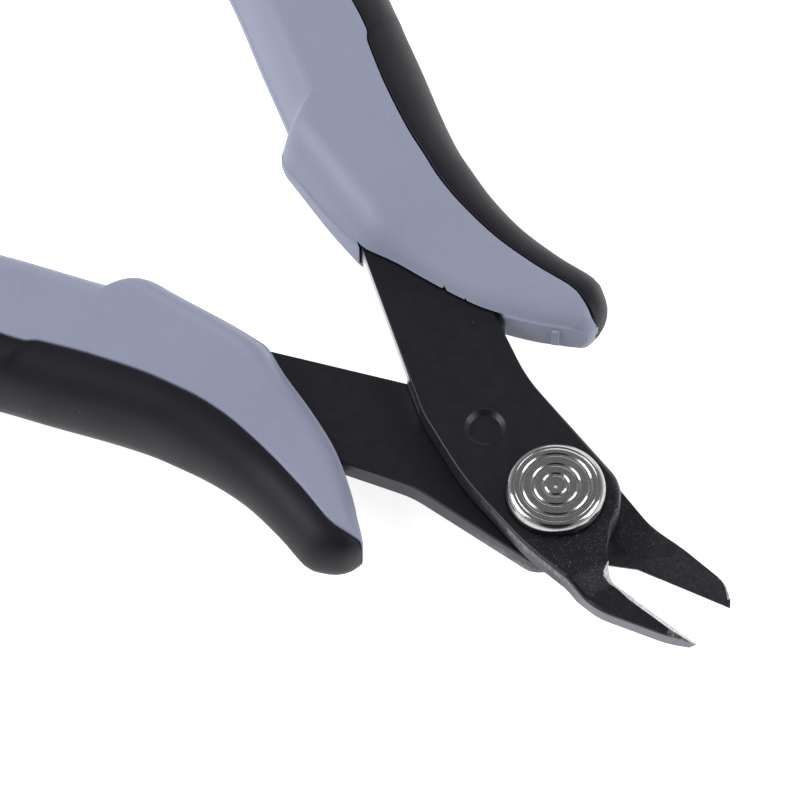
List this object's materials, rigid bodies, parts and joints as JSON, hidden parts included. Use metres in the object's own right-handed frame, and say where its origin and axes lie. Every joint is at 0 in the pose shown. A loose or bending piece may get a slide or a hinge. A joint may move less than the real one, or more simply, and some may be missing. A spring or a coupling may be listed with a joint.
{
  "type": "flush cutter",
  "caption": "Lapped-plate flush cutter with slanted ground jaws, ringed rivet, hidden wire return spring and two-material grips.",
  "frame": {"origin": "where the rivet's axis meets the flat end of its tail", "axes": "+X towards the jaw tips, +Y towards the upper blade's handle, +Z along the rivet towards its ringed head"},
  "size_m": [0.1365, 0.0884, 0.0155],
  "materials": {
    "black_steel": "black oxide, satin",
    "nickel": "bright nickel",
    "spring_steel": "drawn wire",
    "grey_plastic": "fine moulded satin",
    "black_rubber": "soft matt"
  },
  "bodies": {
    "lower_half": {"lower_blade": "black_steel", "pivot_rivet": "nickel", "rivet_collar": "nickel", "return_spring": "spring_steel", "lower_grip_core": "grey_plastic", "lower_grip_sleeve": "black_rubber"},
    "upper_half": {"upper_blade": "black_steel", "upper_grip_core": "grey_plastic", "upper_grip_sleeve": "black_rubber"}
  },
  "joints": [
    {"name": "pivot", "type": "hinge", "parent": "lower_half", "child": "upper_half", "pos_m": [0, 0, 0.00465], "axis": [0, 0, 1], "range_deg": [0, 14.1], "stiffness_Nm_per_rad": 0.2, "springref_deg": -28.65, "deforming": ["return_spring"]}
  ]
}
